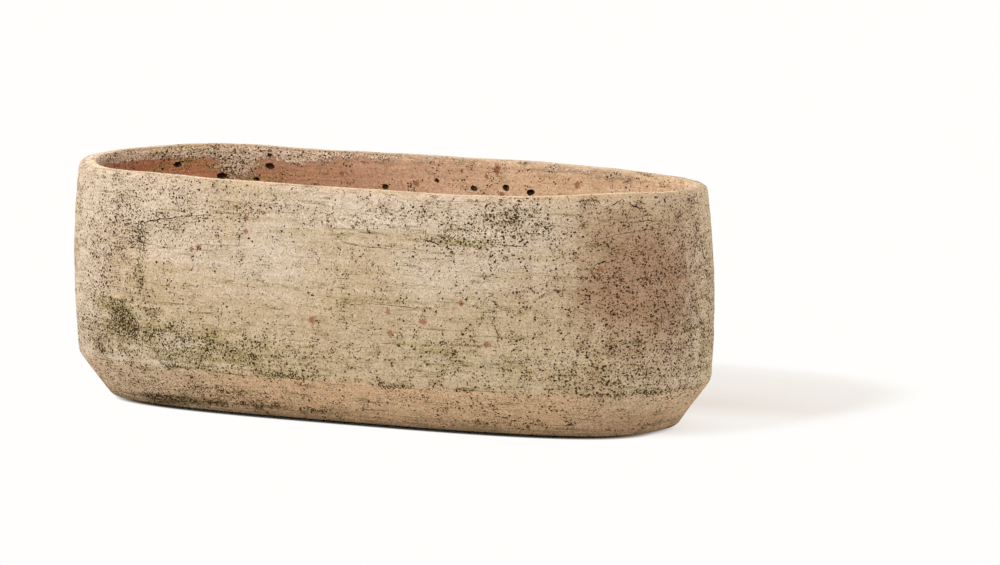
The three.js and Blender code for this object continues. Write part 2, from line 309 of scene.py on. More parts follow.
def add(tree, kind, *values, out=0, **settings):
    """Adds a node with its settings and links. Values go to sockets in order, or by name from a dict."""
    made = tree.nodes.new(kind)
    for name, value in settings.items():
        setattr(made, name, value)
    sockets = values[0].items() if values and isinstance(values[0], dict) else enumerate(values)
    for key, value in sockets:
        if isinstance(value, bpy.types.NodeSocket):
            tree.links.new(value, made.inputs[key])
        else:
            made.inputs[key].default_value = value
    return made.outputs[out]


def weighted(tree, start, parts):
    """A start and a sum of values, each times its weight."""
    for value, weight in parts:
        start = add(tree, "ShaderNodeMath", value, weight, start, operation="MULTIPLY_ADD")
    return start


# The rule of the clay body: a section in height and inset, carried round a squared oval


def wall_inset(height):
    """How far the outer face stands in from the widest outline at a height."""
    above = RIM_INSET * ((height - BELLY_HEIGHT) / (RIM_HEIGHT - BELLY_HEIGHT)) ** 2
    below = CREASE_INSET * ((BELLY_HEIGHT - height) / (BELLY_HEIGHT - CREASE_HEIGHT)) ** 2
    share = (height - CLAY_BOTTOM) / (CREASE_HEIGHT - CLAY_BOTTOM)
    foot_band = FOOT_INSET + (CREASE_INSET - FOOT_INSET) * share
    return np.where(height > BELLY_HEIGHT, above, np.where(height > CREASE_HEIGHT, below, foot_band))


def rim_rise(turn_share):
    """Rise of the rim over its mean height at a share of the turn."""
    return sum(rise * np.cos(TURN * times * (turn_share - top)) for times, rise, top in RIM_WAVES)


def wall_point(turn_share, height, depth=0.0):
    """A point on the outer face, or at a depth inside it, where the turn and height say."""
    inset = float(wall_inset(height)) + depth
    c, s = math.cos(TURN * turn_share), math.sin(TURN * turn_share)
    bend = 2 / PLAN_POWER
    lift = max(0.0, (height - CREASE_HEIGHT) / (RIM_HEIGHT - CREASE_HEIGHT)) * rim_rise(turn_share)
    return Vector((
        (HALF_LENGTH - inset) * math.copysign(abs(c) ** bend, c),
        (HALF_WIDTH - inset) * math.copysign(abs(s) ** bend, s),
        height + lift,
    ))


def read_wall(points):
    """The rule backwards: height before the rim's rise, and depth inside the outer face, of each point."""
    x, y, z = points.T
    low = np.full(len(x), -10 * MM)
    high = np.full(len(x), HALF_WIDTH - 0.1 * MM)
    for _ in range(40):
        inset = (low + high) / 2
        across = np.abs(y / (HALF_WIDTH - inset)) ** PLAN_POWER
        outside = np.abs(x / (HALF_LENGTH - inset)) ** PLAN_POWER + across > 1
        low = np.where(outside, low, inset)
        high = np.where(outside, inset, high)
    c, s = x / (HALF_LENGTH - inset), y / (HALF_WIDTH - inset)
    bend = PLAN_POWER / 2
    turn_share = np.arctan2(np.sign(s) * np.abs(s) ** bend, np.sign(c) * np.abs(c) ** bend) / TURN % 1
    lift = rim_rise(turn_share) / (RIM_HEIGHT - CREASE_HEIGHT)
    height = np.where(z > CREASE_HEIGHT, (z + CREASE_HEIGHT * lift) / (1 + lift), z)
    return height, inset - wall_inset(height)


def rounded(corners, arc_steps=10):
    """Points of a polyline of (radius, height, rounding) corners, with an arc at each rounded one."""
    points = []
    for i, (r, z, rounding) in enumerate(corners):
        here = Vector((r, z))
        if not rounding:
            points.append(here)
            continue
        back = Vector(corners[i - 1][:2]) - here
        ahead = Vector(corners[i + 1][:2]) - here
        half = back.angle(ahead) / 2
        setback = min(rounding / math.tan(half), back.length / 2, ahead.length / 2)
        start = here + back.normalized() * setback
        end = here + ahead.normalized() * setback
        for step in range(arc_steps + 1):
            share = step / arc_steps
            weights = ((1 - share) ** 2, 2 * share * (1 - share) * math.sin(half), share ** 2)
            points.append((start * weights[0] + here * weights[1] + end * weights[2]) / sum(weights))
    return points


def spaced(points, step):
    """The same line with points at about equal steps."""
    lengths = [0.0]
    for a, b in zip(points, points[1:]):
        lengths.append(lengths[-1] + (b - a).length)
    count = max(1, round(lengths[-1] / step))
    columns = [np.interp(np.linspace(0, lengths[-1], count + 1), lengths, [p[axis] for p in points])
               for axis in range(len(points[0]))]
    return [Vector(place) for place in zip(*columns)]


def clay_section():
    """The section from the middle of the underside, up the outside, over the rim and in to the floor."""
    def at(inset, height, rounding=0.0):
        return HALF_LENGTH - float(inset), height, rounding

    heights = np.linspace(CREASE_HEIGHT, RIM_HEIGHT, 20)[1:-1]
    outer = [at(FOOT_INSET + 2 * FOOT_ROUNDING, CLAY_BOTTOM), at(FOOT_INSET, CLAY_BOTTOM, FOOT_ROUNDING),
             at(CREASE_INSET, CREASE_HEIGHT, CREASE_ROUNDING)]
    outer += [at(wall_inset(z), z) for z in heights]
    rim = [at(RIM_INSET, RIM_HEIGHT, RIM_OUTER_ROUNDING),
           at(RIM_INSET + WALL, RIM_HEIGHT, RIM_INNER_ROUNDING)]
    inner = [at(wall_inset(z) + WALL, z) for z in heights[::-1]]
    inner_floor = wall_inset(FLOOR_TOP) + WALL
    inner += [at(CREASE_INSET + WALL, CREASE_HEIGHT, INNER_CREASE_ROUNDING),
              at(inner_floor, FLOOR_TOP, INNER_FLOOR_ROUNDING),
              at(inner_floor + 2 * INNER_FLOOR_ROUNDING, FLOOR_TOP)]
    whole = rounded(outer + rim + inner)
    top = next(i for i, p in enumerate(whole) if p.y >= RIM_HEIGHT - 0.001 * MM)
    turn_in = next(i for i, p in enumerate(whole) if i > top and p.y < RIM_HEIGHT - RIM_INNER_ROUNDING)
    outside = spaced(whole[:turn_in + 1], OUTSIDE_STEP)
    inside = spaced(whole[turn_in:], INSIDE_STEP)
    under = spaced([Vector((0, CLAY_BOTTOM)), outside[0]], FLOOR_STEP)
    floor = spaced([inside[-1], Vector((0, FLOOR_TOP))], FLOOR_STEP)
    return under[:-1] + outside + inside[1:] + floor[1:]


# Making meshes

# The trough tree's inputs for the two half axes of its plan
HALVES = ("Half Length", "Half Width")


def new_tree(name, inputs):
    """An empty Geometry Nodes tree with named inputs, and its two end nodes."""
    tree = bpy.data.node_groups.new(name, "GeometryNodeTree")
    tree.interface.new_socket("Geometry", in_out="INPUT", socket_type="NodeSocketGeometry")
    for label, kind in inputs:
        tree.interface.new_socket(label, in_out="INPUT", socket_type=kind)
    tree.interface.new_socket("Geometry", in_out="OUTPUT", socket_type="NodeSocketGeometry")
    return tree, tree.nodes.new("NodeGroupInput").outputs, tree.nodes.new("NodeGroupOutput").inputs


def run_tree(obj, tree, values):
    """Runs a tree on an object and keeps the result as the object's plain mesh."""
    modifier = obj.modifiers.new(tree.name, "NODES")
    modifier.node_group = tree
    for item in tree.interface.items_tree:
        if item.in_out == "INPUT" and item.name in values:
            modifier[item.identifier] = values[item.name]
    return keep_result(obj)


def keep_result(obj):
    """Replaces an object's mesh with what its modifiers make of it."""
    graph = bpy.context.evaluated_depsgraph_get()
    graph.update()
    made = bpy.data.meshes.new_from_object(obj.evaluated_get(graph), depsgraph=graph)
    used = [material for material in made.materials if material]
    number = np.empty(len(made.polygons), np.int32)
    made.polygons.foreach_get("material_index", number)
    places = [used.index(material) if material else 0 for material in made.materials] or [0]
    renumbered = np.array(places)[number]
    made.materials.clear()
    for material in used:
        made.materials.append(material)
    made.polygons.foreach_set("material_index", renumbered.astype(np.int32))
    obj.modifiers.clear()
    old, obj.data = obj.data, made
    made.name = obj.name
    bpy.data.meshes.remove(old)
    return obj


def mesh_object(name, points, edges=(), faces=(), material=None):
    """A new object in the scene from points, edges and faces."""
    mesh = bpy.data.meshes.new(name)
    mesh.from_pydata([tuple(p) for p in points], list(edges), list(faces))
    mesh.update()
    if material:
        mesh.materials.append(material)
    obj = bpy.data.objects.new(name, mesh)
    bpy.context.scene.collection.objects.link(obj)
    return obj


def turned(name, profile, sides, centre, material):
    """A closed solid of revolution about a vertical line, from a profile that runs up the axis side."""
    points = [Vector((centre.x, centre.y, profile[0].y))]
    rings = profile[1:-1]
    for ring in rings:
        for side in range(sides):
            angle = TURN * side / sides
            out = Vector((ring.x * math.cos(angle), ring.x * math.sin(angle), ring.y))
            points.append(out + Vector((centre.x, centre.y, 0)))
    points.append(Vector((centre.x, centre.y, profile[-1].y)))
    faces = []
    for side in range(sides):
        after = (side + 1) % sides
        faces.append((0, 1 + after, 1 + side))
        for ring in range(len(rings) - 1):
            low, high = 1 + ring * sides, 1 + (ring + 1) * sides
            faces.append((low + side, low + after, high + after, high + side))
        last = 1 + (len(rings) - 1) * sides
        faces.append((last + side, last + after, len(points) - 1))
    return mesh_object(name, points, faces=faces, material=material)


def smooth(obj, sharpest=40):
    """Shades an object smooth, but for edges that turn more than an angle in degrees."""
    obj.data.polygons.foreach_set("use_smooth", [True] * len(obj.data.polygons))
    obj.data.set_sharp_from_angle(angle=math.radians(sharpest))


def oval_plan(tree, given):
    """Points in even steps round the plan. Each keeps the direction that it had on a plain circle."""
    circle = add(tree, "GeometryNodeCurvePrimitiveCircle", {"Resolution": PLAN_POINTS, "Radius": 1.0})
    spot = add(tree, "GeometryNodeInputPosition")
    circle = add(tree, "GeometryNodeStoreNamedAttribute", {
        "Geometry": circle, "Name": "direction", "Value": spot}, data_type="FLOAT_VECTOR", domain="POINT")
    bend = add(tree, "ShaderNodeMath", 2.0, given["Plan Power"], operation="DIVIDE")
    place = []
    for part, half in zip(add(tree, "ShaderNodeSeparateXYZ", spot).node.outputs, HALVES):
        size = add(tree, "ShaderNodeMath", part, operation="ABSOLUTE")
        size = add(tree, "ShaderNodeMath", size, bend, operation="POWER")
        side = add(tree, "ShaderNodeMath", part, operation="SIGN")
        unit = add(tree, "ShaderNodeMath", size, side, operation="MULTIPLY")
        place.append(add(tree, "ShaderNodeMath", unit, given[half], operation="MULTIPLY"))
    plan = add(tree, "GeometryNodeSetPosition", {
        "Geometry": circle, "Position": add(tree, "ShaderNodeCombineXYZ", *place)})
    plan = add(tree, "GeometryNodeResampleCurve", {"Curve": plan, "Count": given["Columns"]})
    return add(tree, "GeometryNodeCurveToPoints", {"Curve": plan}, mode="EVALUATED")


def lathe_grid(tree, section, plan, columns):
    """A grid of the section's rows and the plan's columns, and what each of its points reads from them."""
    rows = add(tree, "GeometryNodeAttributeDomainSize", {"Geometry": section}, component="MESH")
    closing = add(tree, "ShaderNodeMath", columns, 1.0, operation="ADD")
    grid = add(tree, "GeometryNodeMeshGrid", {
        "Size X": 1.0, "Size Y": 1.0, "Vertices X": closing, "Vertices Y": rows})
    index = add(tree, "GeometryNodeInputIndex")
    row = add(tree, "ShaderNodeMath", index, rows, operation="FLOORED_MODULO")
    column = add(tree, "ShaderNodeMath", index, rows, operation="DIVIDE")
    column = add(tree, "ShaderNodeMath", column, operation="FLOOR")
    column = add(tree, "ShaderNodeMath", column, columns, operation="FLOORED_MODULO")
    spot = add(tree, "GeometryNodeInputPosition")
    direction = add(tree, "GeometryNodeInputNamedAttribute", {"Name": "direction"},
                    data_type="FLOAT_VECTOR")
    read = []
    for source, value, at in ((section, spot, row), (plan, spot, column), (plan, direction, column)):
        found = add(tree, "GeometryNodeSampleIndex", {"Geometry": source, "Value": value, "Index": at},
                    data_type="FLOAT_VECTOR", domain="POINT")
        read.append(add(tree, "ShaderNodeSeparateXYZ", found).node.outputs)
    return grid, *read


def lathe_place(tree, given, across, around, direction):
    """Where a point of the grid goes: the section carried round the plan, under the hand-cut rim."""
    reach, _, height = across
    # Both half axes lose the same inset. Near the middle, where none is left across, they shrink alike.
    difference = add(tree, "ShaderNodeMath", *[given[half] for half in HALVES], operation="SUBTRACT")
    narrow = add(tree, "ShaderNodeMath", reach, difference, operation="SUBTRACT")
    flat = add(tree, "ShaderNodeMath", reach, FLAT_MIDDLE_SHARE, operation="MULTIPLY")
    reach_across = add(tree, "ShaderNodeMath", narrow, flat, operation="MAXIMUM")
    place = []
    for part, half, length in zip(around, HALVES, (reach, reach_across)):
        share = add(tree, "ShaderNodeMath", part, given[half], operation="DIVIDE")
        place.append(add(tree, "ShaderNodeMath", share, length, operation="MULTIPLY"))
    # The rim rises and dips, and the wall below follows it less and less
    angle = add(tree, "ShaderNodeMath", direction[1], direction[0], operation="ARCTAN2")
    rise = 0.0
    for times, amount, top in RIM_WAVES:
        phase = weighted(tree, -TURN * times * top, [(angle, float(times))])
        wave = add(tree, "ShaderNodeMath", phase, operation="COSINE")
        rise = weighted(tree, rise, [(wave, amount)])
    place.append(weighted(tree, height, [(rise, up_the_wall(tree, given, height))]))
    return add(tree, "ShaderNodeCombineXYZ", *place)


def up_the_wall(tree, given, height):
    """0 at the crease and 1 at the rim."""
    return add(tree, "ShaderNodeMapRange", {
        "Value": height, "From Min": given["Crease Height"], "From Max": given["Rim Height"]})


def hand_marks(tree, given, outward, height):
    """How far slow dents, thumb dabs, ripples round the pot and the clay's tooth stand out or in.

    The underside and the floor stay flat, because the pads and plugs seat there. The rim doesn't."""
    spot = add(tree, "GeometryNodeInputPosition")
    level = add(tree, "ShaderNodeSeparateXYZ", outward, out=2)
    level = add(tree, "ShaderNodeMath", level, operation="ABSOLUTE")
    steep = add(tree, "ShaderNodeMapRange", {"Value": level, "From Min": 0.98, "From Max": 0.75})
    marked = add(tree, "ShaderNodeMath", steep, up_the_wall(tree, given, height), operation="MAXIMUM")
    stretched = add(tree, "ShaderNodeVectorMath", spot, (
        1 / BRUSH_RIPPLE_LENGTH, 1 / BRUSH_RIPPLE_LENGTH, 1 / BRUSH_RIPPLE_WIDTH), operation="MULTIPLY")
    double_wobble = add(tree, "ShaderNodeMath", given["Hand Wobble"], 2.0, operation="MULTIPLY")
    offset = 0.0
    for vector, scale, detail, amount in (
            (spot, 1 / SLOW_DENT_WIDTH, 1.5, double_wobble),
            (spot, 1 / THUMB_DAB_WIDTH, 2.0, given["Hand Wobble"]),
            (stretched, 1.0, 2.0, given["Brush Ripple"]), (spot, 1 / TOOTH_WIDTH, 2.0, given["Tooth"])):
        noise = add(tree, "ShaderNodeTexNoise", {"Vector": vector, "Scale": scale, "Detail": detail})
        centred = add(tree, "ShaderNodeMath", noise, 0.5, operation="SUBTRACT")
        offset = weighted(tree, offset, [(centred, amount)])
    return add(tree, "ShaderNodeMath", offset, marked, operation="MULTIPLY")


def trough_tree():
    """Carries a section, given as a row of points, round a squared oval and roughens it by hand marks."""
    floats = [*HALVES, "Plan Power", "Crease Height", "Rim Height", "Hand Wobble", "Brush Ripple", "Tooth"]
    tree, given, result = new_tree("clay_trough", [(f, "NodeSocketFloat") for f in floats]
                                   + [("Columns", "NodeSocketInt"), ("Clay", "NodeSocketMaterial")])
    grid, *read = lathe_grid(tree, given["Geometry"], oval_plan(tree, given), given["Columns"])
    shell = add(tree, "GeometryNodeSetPosition", {
        "Geometry": grid, "Position": lathe_place(tree, given, *read)})
    shell = add(tree, "GeometryNodeMergeByDistance", {"Geometry": shell, "Distance": 0.01 * MM})
    outward = add(tree, "GeometryNodeInputNormal")
    height = add(tree, "ShaderNodeSeparateXYZ", add(tree, "GeometryNodeInputPosition"), out=2)
    push = add(tree, "ShaderNodeVectorMath", {
        0: outward, "Scale": hand_marks(tree, given, outward, height)}, operation="SCALE")
    shell = add(tree, "GeometryNodeSetPosition", {"Geometry": shell, "Offset": push})
    shell = add(tree, "GeometryNodeRealizeInstances", {"Geometry": shell})
    shell = add(tree, "GeometryNodeSetMaterial", {"Geometry": shell, "Material": given["Clay"]})
    tree.links.new(shell, result["Geometry"])
    return tree


def pits_tree():
    """Sets a lumpy ball on each point, as wide as the point's radius says."""
    tree, given, result = new_tree("burst_bubbles", [
        ("Fineness", "NodeSocketInt"), ("Lumpiness", "NodeSocketFloat"), ("Seed", "NodeSocketInt"),
        ("Lining", "NodeSocketMaterial")])
    ball = add(tree, "GeometryNodeMeshIcoSphere", {"Radius": 1.0, "Subdivisions": given["Fineness"]})
    radius = add(tree, "GeometryNodeInputNamedAttribute", {"Name": "radius"}, data_type="FLOAT")
    lots = []
    for low, high in (PIT_TURNS, PIT_STRETCHES):
        lots.append(add(tree, "FunctionNodeRandomValue", {0: low, 1: high, "Seed": given["Seed"]},
                        data_type="FLOAT_VECTOR"))
    size = add(tree, "ShaderNodeVectorMath", {0: lots[1], "Scale": radius}, operation="SCALE")
    balls = add(tree, "GeometryNodeInstanceOnPoints", {
        "Points": given["Geometry"], "Instance": ball, "Rotation": lots[0], "Scale": size})
    balls = add(tree, "GeometryNodeRealizeInstances", {"Geometry": balls})
    spot = add(tree, "GeometryNodeInputPosition")
    lumps = add(tree, "ShaderNodeTexNoise", {"Vector": spot, "Scale": 1 / PIT_LUMP_WIDTH, "Detail": 1.0},
                out="Color")
    lumps = add(tree, "ShaderNodeVectorMath", lumps, (0.5, 0.5, 0.5), operation="SUBTRACT")
    amount = add(tree, "ShaderNodeMath", radius, given["Lumpiness"], operation="MULTIPLY")
    push = add(tree, "ShaderNodeVectorMath", {0: lumps, "Scale": amount}, operation="SCALE")
    balls = add(tree, "GeometryNodeSetPosition", {"Geometry": balls, "Offset": push})
    balls = add(tree, "GeometryNodeSetMaterial", {"Geometry": balls, "Material": given["Lining"]})
    tree.links.new(balls, result["Geometry"])
    return tree


# Materials


def new_material(name):
    """A material with nodes, its tree and its surface shader."""
    material = bpy.data.materials.new(name)
    material.use_nodes = True
    return material, material.node_tree, material.node_tree.nodes["Principled BSDF"]


def stretched_noise(tree, place, along, up, detail):
    """Noise drawn out level, as a brush or a wet sponge leaves it when it goes round a pot."""
    scaled = add(tree, "ShaderNodeVectorMath", place, (1 / along, 1 / along, 1 / up), operation="MULTIPLY")
    return add(tree, "ShaderNodeTexNoise", {"Vector": scaled, "Scale": 1.0, "Detail": detail,
                                            "Roughness": 0.6})


def specks(tree, place, cell, least, most, presence):
    """Dots of random width at random places. Presence is the share of cells that have one."""
    scaled = add(tree, "ShaderNodeVectorMath", place, (1 / cell, 1 / cell, 1.15 / cell),
                 operation="MULTIPLY")
    near = add(tree, "ShaderNodeTexVoronoi", {"Vector": scaled, "Scale": 1.0})
    lots = add(tree, "ShaderNodeSeparateColor", near.node.outputs["Color"]).node.outputs
    reach = add(tree, "ShaderNodeMapRange", {"Value": lots[1], "To Min": least, "To Max": most})
    core = add(tree, "ShaderNodeMath", reach, 0.8, operation="MULTIPLY")
    dot = add(tree, "ShaderNodeMapRange", {
        "Value": near, "From Min": core, "From Max": reach, "To Min": 1.0, "To Max": 0.0})
    there = add(tree, "ShaderNodeMath", lots[0], presence, operation="LESS_THAN")
    return add(tree, "ShaderNodeMath", dot, there, operation="MULTIPLY")


def patchy(tree, amount, noises, edge):
    """Turns a painted amount into a patch with a ragged edge. Each noise has its pull on the edge."""
    for noise, pull in noises:
        amount = add(tree, "ShaderNodeMath", noise, pull, add(
            tree, "ShaderNodeMath", amount, pull / 2, operation="SUBTRACT"), operation="MULTIPLY_ADD")
    return add(tree, "ShaderNodeMapRange", {
        "Value": amount, "From Min": 0.5 - edge, "From Max": 0.5 + edge}, interpolation_type="SMOOTHSTEP")


def layered(tree, colour, shares):
    """Lays tints over a colour, each where its share says."""
    for name, share in shares.items():
        strength, tint = TINTS[name]
        share = add(tree, "ShaderNodeMath", share, strength, operation="MULTIPLY")
        colour = add(tree, "ShaderNodeMix", {0: share, 6: colour, 7: linear(tint)}, out=2, data_type="RGBA")
    return colour


def clay_noises(tree, place):
    """Noises by the size of what they make, from clouds of colour down to crumbs and sand."""
    noises = {}
    for name, size, detail in (("cloud", 52, 4.0), ("blotch", 13, 4.0), ("clump", 5.2, 3.0),
                               ("crumb", 1.5, 1.0)):
        noises[name] = add(tree, "ShaderNodeTexNoise", {
            "Vector": place, "Scale": 1 / (size * MM), "Detail": detail, "Roughness": 0.6})
    # The brush's hairs left lines about 1 mm apart, drawn here at 1.5 mm so that they show
    for name, along, up in (("hairs", 42, 1.5), ("wipes", 130, 7), ("streaks", 24, 3.0)):
        noises[name] = stretched_noise(tree, place, along * MM, up * MM, 3.0)
    # Sand of under 1 mm in the clay, drawn at 1.3 mm so that it shows
    sand = add(tree, "ShaderNodeTexVoronoi", {"Vector": place, "Scale": 1 / (1.3 * MM)}, out="Color")
    noises["sand"] = add(tree, "ShaderNodeSeparateColor", sand)
    return SimpleNamespace(**noises)


def shaken_place(tree, place):
    """Places with a small random shift, which keeps dots from being round."""
    shift = add(tree, "ShaderNodeTexNoise", {"Vector": place, "Scale": 1 / (1.6 * MM), "Detail": 2.0},
                out="Color")
    shift = add(tree, "ShaderNodeVectorMath", shift, (0.5, 0.5, 0.5), operation="SUBTRACT")
    return add(tree, "ShaderNodeVectorMath", shift, (2.4 * MM, 2.4 * MM, 1.8 * MM), place,
               operation="MULTIPLY_ADD")


def bare_foot(tree, noise, outer, along, height):
    """The height over the wavy tide line at the crease, and where the bare, warm foot below it shows."""
    tide = weighted(tree, -CREASE_HEIGHT + 2.5 * MM, [(height, 1.0), (noise.cloud, -6 * MM)])
    foot = add(tree, "ShaderNodeMapRange", {"Value": tide, "From Min": 5 * MM, "From Max": -5 * MM},
               interpolation_type="SMOOTHSTEP")
    mossy_left = add(tree, "ShaderNodeMapRange", {
        "Value": along, "From Min": -0.18, "From Max": -0.05, "To Min": 0.65},
        interpolation_type="SMOOTHSTEP")
    grey_right = add(tree, "ShaderNodeMapRange", {"Value": along, "From Min": 0.22, "From Max": 0.27,
                                                  "To Min": 1.0, "To Max": 0.55})
    for share in (outer, mossy_left, grey_right):
        foot = add(tree, "ShaderNodeMath", foot, share, operation="MULTIPLY")
    return tide, foot


def stains(tree, noise, painted, foot):
    """Where the broad colours lie, and what has grown or washed over them, each with a ragged edge."""
    tan = add(tree, "ShaderNodeMapRange", {"Value": noise.cloud, "From Min": 0.42, "From Max": 0.62},
              interpolation_type="SMOOTHSTEP")
    edges = {
        "bloom": ([(noise.blotch, 0.9), (noise.wipes, 0.9)], 0.3),
        "iron": ([(noise.blotch, 0.6), (noise.wipes, 0.6), (noise.cloud, 0.6)], 0.5),
        "algae": ([(noise.blotch, 1.0), (noise.streaks, 2.8), (noise.hairs, 2.0), (noise.crumb, 0.8)],
                  0.25),
        "moss": ([(noise.blotch, 0.8), (noise.clump, 0.7)], 0.35),
        "scum": ([(noise.blotch, 0.9), (noise.streaks, 0.9), (noise.crumb, 0.9)], 0.25),
        "rim": ([(noise.blotch, 0.5)], 0.3),
    }
    on = {name: patchy(tree, painted[name], *edge) for name, edge in edges.items()}
    on["scum"] = add(tree, "ShaderNodeMath", on["scum"], painted["inside"], operation="MULTIPLY")
    scum_edge = add(tree, "ShaderNodeMath", 1.0, on["scum"], operation="SUBTRACT")
    scum_edge = add(tree, "ShaderNodeMath", scum_edge, on["scum"], operation="MULTIPLY")
    return SimpleNamespace(tan=tan, foot=foot, scum_edge=scum_edge, pale_rim_and_highlight=on.pop("rim"), **on)


def clay_colour(tree, painted, on, along):
    """The clay's colour under its stains: buff outside, and salmon inside, paler to the right."""
    # The rust layer is also painted shade on the front corners.
    buff = layered(tree, linear(CLAY_COLOUR), {
        "tan": on.tan, "bloom": on.bloom, "iron": on.iron, "foot": on.foot})
    pale_end = add(tree, "ShaderNodeMapRange", {"Value": along, "From Min": -0.28, "From Max": 0.12},
                   interpolation_type="SMOOTHSTEP")
    salmon = add(tree, "ShaderNodeMix", {
        0: pale_end, 6: linear(SALMON_LEFT), 7: linear(SALMON_RIGHT)}, out=2, data_type="RGBA")
    colour = add(tree, "ShaderNodeMix", {0: painted["inside"], 6: buff, 7: salmon}, out=2,
                 data_type="RGBA")
    # The pale rim layer is partly a painted highlight.
    return layered(tree, colour, {"scum": on.scum, "scum_edge": on.scum_edge, "algae": on.algae,
                                  "moss": on.moss, "pale_rim_and_highlight": on.pale_rim_and_highlight})


def brushed(tree, colour, noise, painted, on):
    """Adds brush lines, wipes, sand and lumps, and crumbs that are rough where things grow."""
    growth = weighted(tree, 0.75, [
        (on.moss, 2.2), (on.algae, 1.5), (on.scum, 1.3), (painted["pores"], 0.3), (on.foot, 0.6)])
    for value, swing in ((noise.hairs, 0.6), (noise.wipes, 0.4), (noise.clump, 0.35), (noise.sand, 0.34),
                         (noise.crumb, growth)):
        level = add(tree, "ShaderNodeMath", value, 0.5, operation="SUBTRACT")
        level = add(tree, "ShaderNodeMath", level, swing, operation="MULTIPLY")
        level = add(tree, "ShaderNodeVectorMath", level, COLOUR_SWING, (1.0, 1.0, 1.0),
                    operation="MULTIPLY_ADD")
        colour = add(tree, "ShaderNodeVectorMath", colour, level, operation="MULTIPLY")
    return colour


def dirt(tree, place, height, noise, outer):
    """Where the foot darkens in streaks towards the ground, and where long level scratches run.

    A scratch runs where a drawn-out noise crosses its middle."""
    sole = add(tree, "ShaderNodeMapRange", {
        "Value": height, "From Min": 4 * MM, "From Max": 22 * MM, "To Min": 0.64, "To Max": 0.1})
    low_dark_streaks = patchy(tree, sole, [(noise.hairs, 1.6), (noise.crumb, 2.0)], 0.15)
    crossing = add(tree, "ShaderNodeMath", stretched_noise(tree, place, 100 * MM, 6 * MM, 1.0), 0.5,
                   operation="SUBTRACT")
    crossing = add(tree, "ShaderNodeMath", crossing, operation="ABSOLUTE")
    scratches = add(tree, "ShaderNodeMapRange", {"Value": crossing, "From Min": 0.03, "From Max": 0.005})
    some = add(tree, "ShaderNodeMapRange", {"Value": noise.streaks, "From Min": 0.48, "From Max": 0.62})
    scratches = add(tree, "ShaderNodeMath", scratches, some, operation="MULTIPLY")
    return {name: add(tree, "ShaderNodeMath", share, outer, operation="MULTIPLY")
            for name, share in (("scratches", scratches), ("low_dark_streaks", low_dark_streaks))}


def grog(tree, shaken, noise):
    """Where rusty lumps lie at their places, and small grains by chance."""
    nearest = 5.0
    for centre, width in grog_places():
        away = add(tree, "ShaderNodeVectorMath", shaken, tuple(centre), operation="DISTANCE", out="Value")
        away = add(tree, "ShaderNodeMath", away, width / 2, operation="DIVIDE")
        nearest = add(tree, "ShaderNodeMath", away, nearest, operation="MINIMUM")
    nearest = weighted(tree, nearest, [(noise.clump, 1.6), (noise.crumb, 1.8)])
    lumps = add(tree, "ShaderNodeMapRange", {"Value": nearest, "From Min": 2.95, "From Max": 2.55})
    return {"grog_lumps": lumps, "grog_grains": specks(tree, shaken, 19 * MM, 0.05, 0.1, 0.3)}


def dark_specks(tree, shaken, noise, painted, on, tide):
    """Where moss has dried to black crumbs with bare clay between, and swarms of dots of dirt and pores.

    A few crumbs lie where the clay is open, and more dots along the tide line."""
    near_tide = add(tree, "ShaderNodeMath", tide, operation="ABSOLUTE")
    near_tide = add(tree, "ShaderNodeMapRange", {
        "Value": near_tide, "From Min": 0.3 * MM, "From Max": 2.4 * MM, "To Min": 1.0, "To Max": 0.0})
    swarm = weighted(tree, -2.62, [
        (noise.blotch, 2.4), (noise.cloud, 1.0), (noise.clump, 1.6), (painted["pores"], 0.8),
        (on.scum, 0.5), (on.moss, 0.6), (on.algae, 0.25), (near_tide, 0.2)])
    thick = weighted(tree, -0.32, [
        (on.moss, 0.78), (painted["pores"], 0.17), (on.scum, 0.3), (painted["inside"], -0.2)])
    specked = {"crumbs": patchy(tree, thick, [(noise.crumb, -4.0), (noise.clump, 1.2)], 0.08)}
    for name, (cell, least, most, anywhere, follow) in DOTS.items():
        presence = weighted(tree, anywhere, [(swarm, follow)])
        specked[name] = specks(tree, shaken, cell * MM, least, most, presence)
    return specked


def aged_fired_clay():
    """Low-fired, unglazed clay, formed and brushed by hand and aged outdoors.

    The eye gets a dry, sandy buff with level brush marks, a pale lime bloom above, brown-green algae
    below, dark specks of moss, pores and rusty grog, and a barer, warmer foot. Inside it is salmon."""
    material, tree, shader = new_material("aged_fired_clay")
    place = add(tree, "ShaderNodeTexCoord", out="Object")
    along, _, height = add(tree, "ShaderNodeSeparateXYZ", place).node.outputs
    painted = {name: add(tree, "ShaderNodeAttribute", attribute_name=name, out="Fac")
               for name in ("inside", "rim", *PATCHES)}
    outer = add(tree, "ShaderNodeMath", 1.0, painted["inside"], operation="SUBTRACT")
    noise = clay_noises(tree, place)
    shaken = shaken_place(tree, place)
    tide, foot = bare_foot(tree, noise, outer, along, height)
    on = stains(tree, noise, painted, foot)
    specked = dark_specks(tree, shaken, noise, painted, on, tide)

    colour = clay_colour(tree, painted, on, along)
    colour = brushed(tree, colour, noise, painted, on)
    colour = layered(tree, colour, {
        **dirt(tree, place, height, noise, outer), **grog(tree, shaken, noise), **specked})
    tree.links.new(colour, shader.inputs["Base Color"])

    # Relief in metres: brush lines, sand and lumps stand up, pores and specks go in
    relief = weighted(tree, 0.0, [
        (noise.hairs, 0.3 * MM), (noise.crumb, 0.25 * MM), (noise.sand, 0.06 * MM),
        (noise.clump, 0.6 * MM), (noise.blotch, 0.8 * MM), (on.scum, 0.3 * MM),
        (specked["fine_dots"], -0.35 * MM), (specked["wide_dots"], -0.6 * MM),
        (specked["widest_dots"], -0.9 * MM)])
    bump = add(tree, "ShaderNodeBump", {"Strength": 0.9, "Distance": 1.0, "Height": relief})
    tree.links.new(bump, shader.inputs["Normal"])
    shader.inputs["Roughness"].default_value = 0.92
    shader.inputs["IOR"].default_value = 1.5
    shader.inputs["Specular IOR Level"].default_value = 0.12
    return material


